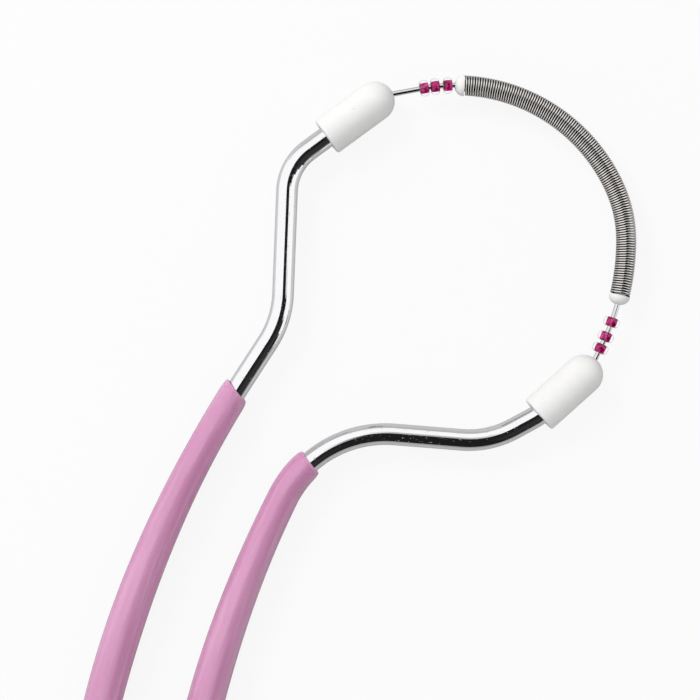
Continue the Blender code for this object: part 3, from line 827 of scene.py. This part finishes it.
# %% Wire finish and skin
def wire_finish():
    finish = Finish("bright_spring_wire", Metallic=1.0)
    drawn = finish.noise(0.07, 3.0, 40.0)
    cloud = finish.noise(1.2, 2.0, 4.0)
    finish.set(Base_Color=finish.mix(cloud, colour(240, 240, 242), colour(222, 221, 223)))
    finish.set(Roughness=finish.between(drawn, 0.02, 0.08))
    finish.bump(drawn, 0.001 * MM)
    return finish.done()


bright_wire = wire_finish()
outline = solid_outline(bow_length, WIRE_RADIUS, inset=0.3 * MM, rings=240)
core = skin("bright_core_wire", bow, outline, bright_wire, sides=24)
fit(core, "frame", "core_wire")

# %% [markdown]
# ## The coil spring
#
# The spring is about 120 turns of fine steel wire, wound close. Bent into the bow, its
# turns touch on the inside and open a hair on the outside, which is where it grips hair.
# A Screw modifier can wind a straight spring, but not one on a bow. This tree draws a
# line with a few dozen points for every turn, winds it round the path and skins it. Each
# turn gets its own tiny shift from a fixed seed, as real turns never lie quite even.
#
# Light hardly gets between the turns, so only the crest of each is bright. The tree
# stores how high a point lies on its turn as "ridge", from its distance to the path, and
# the finish colours everything below the crest near black: painted shade between turns.

# %% Build the coil tree
MM_PER_RADIAN = 1.45


def build_coil_tree():
    sizes = (
        ("Path", "Object"), ("Start", "Float"), ("End", "Float"), ("Turns", "Int"),
        ("Turn Radius", "Float"), ("Wire Radius", "Float"), ("Points per Turn", "Int"),
        ("Sides", "Int"), ("Unevenness", "Float"), ("Seed", "Int"), ("Material", "Material"),
    )
    nodes, sockets = geometry_tree("coil_on_path", sizes)
    _, path, start, end, turns, radius, wire, detail, sides, uneven, seed, material = sockets
    axis = nodes.add("GeometryNodeObjectInfo", "Geometry", {"Object": path})
    strand = nodes.add("GeometryNodeCurvePrimitiveLine", "Curve")
    inputs = {"Curve": strand, "Count": turns * detail + 1}
    strand = nodes.add("GeometryNodeResampleCurve", "Curve", inputs, mode="COUNT")
    share = nodes.add("GeometryNodeSplineParameter", "Factor")
    turn = share * turns
    inputs = {"Min_001": -1.0, "Max_001": 1.0, "ID": nodes.maths("FLOOR", turn), "Seed": seed}
    jitter = nodes.add("FunctionNodeRandomValue", "Value_001", inputs, data_type="FLOAT")
    whole = turn - nodes.maths("FLOOR", turn)
    swell = nodes.maths("SINE", whole * math.pi)
    along = start + (end - start) * share + jitter * uneven * swell
    point, way, beside = follow(nodes, axis, along)
    angle = turn * (2 * math.pi)
    across = nodes.vector("SCALE", beside, nodes.maths("COSINE", angle) * radius)
    rise = nodes.vector("SCALE", tuple(UP), nodes.maths("SINE", angle) * radius)
    place = nodes.vector("ADD", nodes.vector("ADD", point, across), rise)
    inputs = {"Geometry": strand, "Position": place}
    strand = nodes.add("GeometryNodeSetPosition", "Geometry", inputs)
    inputs = {0: turn, 1: 0.0, 2: angle * MM_PER_RADIAN}
    flat = nodes.add("ShaderNodeCombineXYZ", "Vector", inputs)
    strand = store(nodes, strand, "unrolled", flat, "FLOAT_VECTOR")
    inputs = {"Resolution": sides, "Radius": wire}
    ring = nodes.add("GeometryNodeCurvePrimitiveCircle", "Curve", inputs, mode="RADIUS")
    inputs = {"Curve": strand, "Profile Curve": ring, "Fill Caps": True}
    coil = nodes.add("GeometryNodeCurveToMesh", "Mesh", inputs)
    inputs = {"Target": axis}
    far = nodes.add("GeometryNodeProximity", "Distance", inputs, target_element="EDGES")
    coil = store(nodes, coil, "ridge", (far - radius) / wire, "FLOAT")
    inputs = {"Geometry": coil, "Shade Smooth": True}
    coil = nodes.add("GeometryNodeSetShadeSmooth", "Geometry", inputs)
    return finish_tree(nodes, coil, material)


coil_tree = build_coil_tree()

# %% Steel finish and the coil
COIL_TURNS = 121
COIL_WIRE_RADIUS = 0.19 * MM


def steel_finish():
    finish = Finish("wound_spring_steel", Metallic=1.0)
    tint = finish.noise(3.0, 2.0)
    drawn = finish.noise(0.5, 2.0, 6.0)
    ridge = finish.add("ShaderNodeAttribute", "Fac", attribute_name="ridge")
    # Painted shade: below the crest of each turn the colour goes near black, for the shade
    # between the turns. The flanks are also rougher.
    lit_crest = finish.rise(ridge, 0.8, 0.92)
    crest_steel = finish.mix(tint, colour(246, 243, 240), colour(226, 221, 217))
    finish.set(Base_Color=finish.mix(lit_crest, colour(13, 11, 11), crest_steel))
    finish.set(Roughness=finish.between(drawn, 0.05, 0.12) + (1 - lit_crest) * 0.2)
    finish.bump(drawn, 0.003 * MM)
    return finish.done()


steel = steel_finish()
middle = (bow_exit + bow_entry) / 2 + COIL_SHIFT
coil_start, coil_end = middle - COIL_LENGTH / 2, middle + COIL_LENGTH / 2
bow_path = path_object("bow_path", bow)
coil_inputs = {
    "Path": bow_path, "Start": coil_start + COIL_WIRE_RADIUS,
    "End": coil_end - COIL_WIRE_RADIUS, "Turns": COIL_TURNS,
    "Turn Radius": COIL_OUTER_RADIUS - COIL_WIRE_RADIUS, "Wire Radius": COIL_WIRE_RADIUS,
    "Points per Turn": 28, "Sides": 14, "Unevenness": 0.012 * MM, "Seed": 7,
    "Material": steel,
}
coil = grow("steel_coil", bpy.data.meshes.new("steel_coil_start"), coil_tree, coil_inputs)
bpy.data.objects.remove(bow_path)
fit(coil, "frame", "coil_spring")

# %% [markdown]
# ## The plugs
#
# A plug closes each end of the coil: a small white dome with a thin rim, and a spigot
# that reaches into the coil. It turns on the wire with the coil, so it rides on a body
# of its own. Like a cap it is one outline, closed by its bore.

# %% The outline of a plug
PLUG_EDGE = 0.03 * MM


def plug_outline():
    """From the spigot's inner end at zero to the tip of the dome, and back down."""
    rows = [(0.0, THREADED_BORE_RADIUS), (0.0, SPIGOT_RADIUS)]
    rows += [(SPIGOT_LENGTH, SPIGOT_RADIUS), (SPIGOT_LENGTH, PLUG_RADIUS - PLUG_EDGE)]
    rows += [(SPIGOT_LENGTH + PLUG_EDGE, PLUG_RADIUS)]
    last = math.degrees(math.acos(THREADED_BORE_RADIUS / PLUG_RADIUS))
    for sine, cosine in round_steps(0.0, last, 16):
        rows.append((SPIGOT_LENGTH + PLUG_RIM + PLUG_DOME * sine, PLUG_RADIUS * cosine))
    return rows


print("outline of a plug:", len(plug_outline()), "points")

# %% Turn the two plugs
plug_tips = {}
for side, shoulder, outward in (("left", coil_start, -1), ("right", coil_end, 1)):
    centre = shoulder + (PLUG_DOME + PLUG_RIM - SPIGOT_LENGTH) / 2 * outward
    point, way = place_on(bow, centre)
    half = way * outward * (PLUG_DOME + PLUG_RIM + SPIGOT_LENGTH) / 2
    path = [point - half, point + half]
    plug = skin("white_plug_" + side, path, plug_outline(), white, sides=40, closed=True)
    fit(plug, side + "_spring_plug_body", side + "_spring_plug")
    plug_tips[side] = shoulder + (PLUG_DOME + PLUG_RIM) * outward

# %% [markdown]
# ## The glass beads
#
# A lined bead is clear glass with a painted hole. The glass bends the light, so the
# thin magenta lining looks half as wide again and the glass round it nearly vanishes on
# white. A see-through colour with an alpha would look flat, so the glass is real
# refracting glass here. The lining is a second, opaque piece on the same body. It
# overlaps the wall of the hole, because paint touches the glass: with air between them
# the wall would be a mirror and hide the colour. Both are darker at the ends of a bead:
# on the glass this is painted shade that draws its dark outline, and the lining's colour
# simply turns darker there. Pale patches on the lining are a painted highlight.

# %% Glass finish
def glass_finish():
    finish = Finish(
        "clear_bead_glass", IOR=1.5, Transmission_Weight=1.0, Specular_IOR_Level=0.25,
    )
    ripple = finish.noise(0.5, 2.0)
    clear = finish.mix(ripple, colour(255, 253, 254), colour(250, 244, 249))
    # Painted shade: the glass turns purple-grey towards both ends, which draws the bead's dark
    # outline.
    rims = finish.ends(BEAD_LENGTH / MM, 0.35)
    finish.set(Base_Color=finish.mix(rims * 0.9, clear, colour(140, 104, 140)))
    finish.set(Roughness=finish.between(ripple, 0.0, 0.02))
    finish.bump(ripple, 0.02 * MM)
    return finish.done()


glass = glass_finish()

# %% Lining finish
def lining_finish():
    finish = Finish("magenta_bead_lining", Specular_IOR_Level=0.0)
    fleck = finish.noise(0.5, 2.0)
    # Painted highlight: pale pink patches laid over the lining's colour.
    highlight_patch = finish.rise(finish.noise(0.6, 2.0, 2.5), 0.58, 0.7)
    fleck_share = finish.rise(fleck, 0.35, 0.65)
    paint = finish.mix(fleck_share, colour(104, 0, 62), colour(216, 0, 122))
    paint = finish.mix(highlight_patch * 0.6, paint, colour(250, 130, 200))
    # The lining's colour turns darker towards both ends of the bead.
    rims = finish.ends(BEAD_LENGTH / MM, 0.28)
    finish.set(Base_Color=finish.mix(rims * 0.85, paint, colour(60, 0, 50)))
    finish.set(Roughness=finish.between(fleck, 0.25, 0.45))
    finish.bump(fleck, 0.02 * MM)
    return finish.done()


lining_paint = lining_finish()

# %% The outlines of a bead and its lining
# Below 1 the side of a bead is fuller than half an ellipse.
BEAD_FULLNESS = 0.62
BEAD_BORE_RADIUS = 0.555 * MM
LINING_OUTER_RADIUS = BEAD_BORE_RADIUS + 0.02 * MM
LINING_INNER_RADIUS = BEAD_BORE_RADIUS - 0.05 * MM
LINING_INSET = 0.02 * MM


def bead_outline():
    rows = []
    for sine, cosine in round_steps(180.0, 0.0, 28):
        swell = abs(sine) ** BEAD_FULLNESS
        radius = BEAD_BORE_RADIUS + (BEAD_RADIUS - BEAD_BORE_RADIUS) * swell
        rows.append((BEAD_LENGTH / 2 * (1 + cosine), radius))
    return rows


def lining_outline():
    low, high = LINING_INSET, BEAD_LENGTH - LINING_INSET
    rows = [(along, LINING_OUTER_RADIUS) for along in steps(low, high, 8)]
    return rows + [(along, LINING_INNER_RADIUS) for along in steps(high, low, 8)]


print("outline of a bead:", len(bead_outline()), "points")

# %% Turn the beads and their linings
PATTERN_SHIFT = 7.0


def shift_pattern(piece, shift):
    """Slide the pattern of a piece sideways, so that equal pieces don't look alike."""
    for point in piece.data.attributes["unrolled"].data:
        point.vector.x += shift


for side, outward in (("left", -1), ("right", 1)):
    free = abs((bow_exit if side == "left" else bow_entry) - plug_tips[side])
    spare = free - 3 * BEAD_LENGTH
    edge = 0.0
    for number, share in enumerate(BEAD_GAP_SHARES[side], start=1):
        edge += spare * share
        point, way = place_on(bow, plug_tips[side] + (edge + BEAD_LENGTH / 2) * outward)
        edge += BEAD_LENGTH
        path = [point - way * BEAD_LENGTH / 2, point + way * BEAD_LENGTH / 2]
        name = f"{side}_bead_{number}"
        bead = skin("glass_" + name, path, bead_outline(), glass, sides=48, closed=True)
        outline = lining_outline()
        lining = skin("lining_" + name, path, outline, lining_paint, sides=32, closed=True)
        for piece in (bead, lining):
            shift_pattern(piece, (number + 1.5 * outward) * PATTERN_SHIFT)
        fit(bead, name + "_body", name)
        fit(lining, name + "_body")

# %% [markdown]
# ## The floor
#
# The tool lies on a plain pale table. A white sheet would do, but it renders grey where
# less than full light falls on it. So the camera, and rays that come through glass, see
# this one mostly as light of its own and only partly as a lit sheet: it looks white and
# keeps the tool's soft shadow. The chrome sees far less of that light, so its rims, which
# mirror the table, turn grey.

# %% Directions on the picture
IMAGE_TURN = 13.8


def toward(picture_heading, tilt):
    """Unit vector at a heading in the picture and a tilt from straight up."""
    level = unit(picture_heading + IMAGE_TURN) * math.sin(math.radians(tilt))
    return level + UP * math.cos(math.radians(tilt))


print("right in the picture is", tuple(round(part, 3) for part in toward(0.0, 90.0)))

# %% Floor finish
FLOOR_SEEN_SHARE = 0.8
FLOOR_MIRRORED_SHARE = 0.1
FLOOR_GLOW = 1.1
RAYS = ("Is Camera Ray", "Is Glossy Ray", "Is Transmission Ray")


def floor_finish():
    finish = Finish("pale_floor", Roughness=0.28, IOR=1.6)
    camera_ray, glossy_ray, glass_ray = finish.add("ShaderNodeLightPath", RAYS)
    shown = (camera_ray + glass_ray) * FLOOR_SEEN_SHARE + glossy_ray * FLOOR_MIRRORED_SHARE
    cloud = finish.noise(40.0, 2.0)
    finish.set(Base_Color=finish.mix(cloud, (0.52, 0.52, 0.52), (0.49, 0.49, 0.49)))
    glow = finish.add("ShaderNodeEmission", "Emission", {"Strength": FLOOR_GLOW})
    inputs = {0: shown, 1: Output(finish, finish.shader.outputs[0]), 2: glow}
    mixed = finish.add("ShaderNodeMixShader", "Shader", inputs)
    surface = finish.tree.nodes["Material Output"].inputs["Surface"]
    finish.tree.links.new(mixed.socket, surface)
    return finish.done()


pale_floor = floor_finish()

# %% Floor
FLOOR_REACH = 1.5
sheet = bpy.data.meshes.new("floor")
corners = ((-1, -1), (1, -1), (1, 1), (-1, 1))
corners = [(x * FLOOR_REACH, y * FLOOR_REACH, 0.0) for x, y in corners]
sheet.from_pydata(corners, [], [(0, 1, 2, 3)])
sheet.materials.append(pale_floor)
floor = link("floor", sheet)
print(f"floor: {2 * FLOOR_REACH:.0f} m wide")

# %% [markdown]
# ## What the chrome shows
#
# Polished chrome has no colour of its own and shows its surroundings. In a white light
# tent these are white, apart from the gaps in it: a dark ceiling to the lower right,
# which draws the black stripe along the rod, a patch that softens its edge, and a dimmer
# wall above and below the picture, which greys the flanks. The tent could be built from
# sheets and lamps, but it is simpler to paint each gap on the world as an oval card. Only
# glossy rays see the cards. The camera sees a white backdrop, and all other rays get one
# even light.

# %% The cards
# Each card: heading and tilt of its middle, half length and half width in degrees, the
# turn of its length from the way down to the horizon, softness of its edge, brightness.
CARDS = {
    "dark ceiling": (-62.1, 61.6, 78.1, 31.5, -12.5, 0.05, 0.012),
    "grey patch": (-42.0, 46.0, 22.0, 17.0, 0.0, 0.6, 0.03),
    "lower wall": (-75.0, 94.0, 17.0, 60.0, 0.0, 0.4, 0.33),
    "upper wall": (98.0, 92.0, 25.0, 44.0, 0.0, 0.2, 0.47),
}


def card(nodes, direction, heading, tilt, half_length, half_width, turn, softness):
    """1 for directions inside an oval card, fading to 0 outside it."""
    centre, down = toward(heading, tilt), toward(heading, tilt + 90.0)
    turn = math.radians(turn)
    length = down * math.cos(turn) + centre.cross(down) * math.sin(turn)
    axes = (length, centre.cross(length), centre)
    far, wide, facing = (nodes.vector("DOT_PRODUCT", direction, tuple(axis)) for axis in axes)
    far = far * far / math.sin(math.radians(half_length)) ** 2
    wide = wide * wide / math.sin(math.radians(half_width)) ** 2
    inputs = {
        "Value": far + wide, "From Min": 1 - softness, "From Max": 1 + softness,
        "To Min": 1.0, "To Max": 0.0,
    }
    inside = nodes.add("ShaderNodeMapRange", "Result", inputs)
    return inside * nodes.maths("GREATER_THAN", facing, 0.0)


print("cards:", ", ".join(CARDS))

# %% World
TENT_LEVEL = 0.66
BACKDROP_LEVEL = 0.975


def surroundings():
    world = bpy.data.worlds.new("studio")
    bpy.context.scene.world = world
    world.use_nodes = True
    nodes = Nodes(world.node_tree)
    camera_ray, glossy_ray, glass_ray = nodes.add("ShaderNodeLightPath", RAYS)
    direction = nodes.add("ShaderNodeTexCoord", "Generated")
    mirrored = 1.0
    for *values, brightness in CARDS.values():
        mirrored = card(nodes, direction, *values) * (brightness - mirrored) + mirrored
    tent = (mirrored - TENT_LEVEL) * glossy_ray + TENT_LEVEL
    behind = camera_ray + glass_ray
    strength = (BACKDROP_LEVEL - tent) * behind + tent
    shader = world.node_tree.nodes["Background"]
    shader.inputs["Color"].default_value = (1.0, 1.0, 1.0, 1.0)
    world.node_tree.links.new(strength.socket, shader.inputs["Strength"])


surroundings()
print(f"world: {TENT_LEVEL} from all round, {BACKDROP_LEVEL} behind the tool")

# %% [markdown]
# ## Key light
#
# One large soft lamp to the upper left of the picture shapes the caps and sleeves, which
# are bright on that side and fall off slowly to the other. A sun would be as even, but
# with harder shadows. Glossy rays don't see the lamp, because its disc would put a second
# highlight on the chrome. Its power follows from the light that should arrive, so it can
# be moved without a change in brightness.

# %% Key light
KEY_TARGET = Vector((-0.007, 0.033, 0.003))
KEY_HEADING = 135.0
KEY_TILT = 55.0


def key_light(level, distance, size):
    lamp = bpy.data.lights.new("key", "AREA")
    lamp.shape = "DISK"
    lamp.size = size
    lamp.energy = level * math.pi**2 * distance**2
    piece = link("key", lamp)
    piece.visible_camera = piece.visible_glossy = False
    from_target = toward(KEY_HEADING, KEY_TILT)
    piece.location = KEY_TARGET + from_target * distance
    piece.rotation_euler = from_target.to_track_quat("Z", "Y").to_euler()
    print("key lamp:", f"{lamp.energy:.2f} W")


key_light(level=0.54, distance=0.8, size=0.45)

# %% [markdown]
# ## Camera
#
# The picture was taken from straight above the tool's flat side. An orthographic camera
# would be simpler, but a real one sees the outer pieces a little from the side. This is
# a long lens about thirty centimetres up. The width that it takes in sets its height.

# %% Camera
FRAME_WIDTH = 112.9 * MM
LENS = 95.7
SENSOR = 36.0
CAMERA_TARGET = Vector((-6.81, 33.04, 3.2)) * MM
view = bpy.data.cameras.new("camera")
view.lens, view.sensor_width = LENS, SENSOR
camera = link("camera", view)
height = FRAME_WIDTH * LENS / SENSOR
camera.location = CAMERA_TARGET + UP * height
camera.rotation_euler = (0.0, 0.0, math.radians(IMAGE_TURN))
view.clip_start = 0.01
scene = bpy.context.scene
scene.camera = camera
scene.view_settings.view_transform = "Standard"
print(f"camera: {height / MM:.0f} mm above the tool, {FRAME_WIDTH / MM:.1f} mm wide")
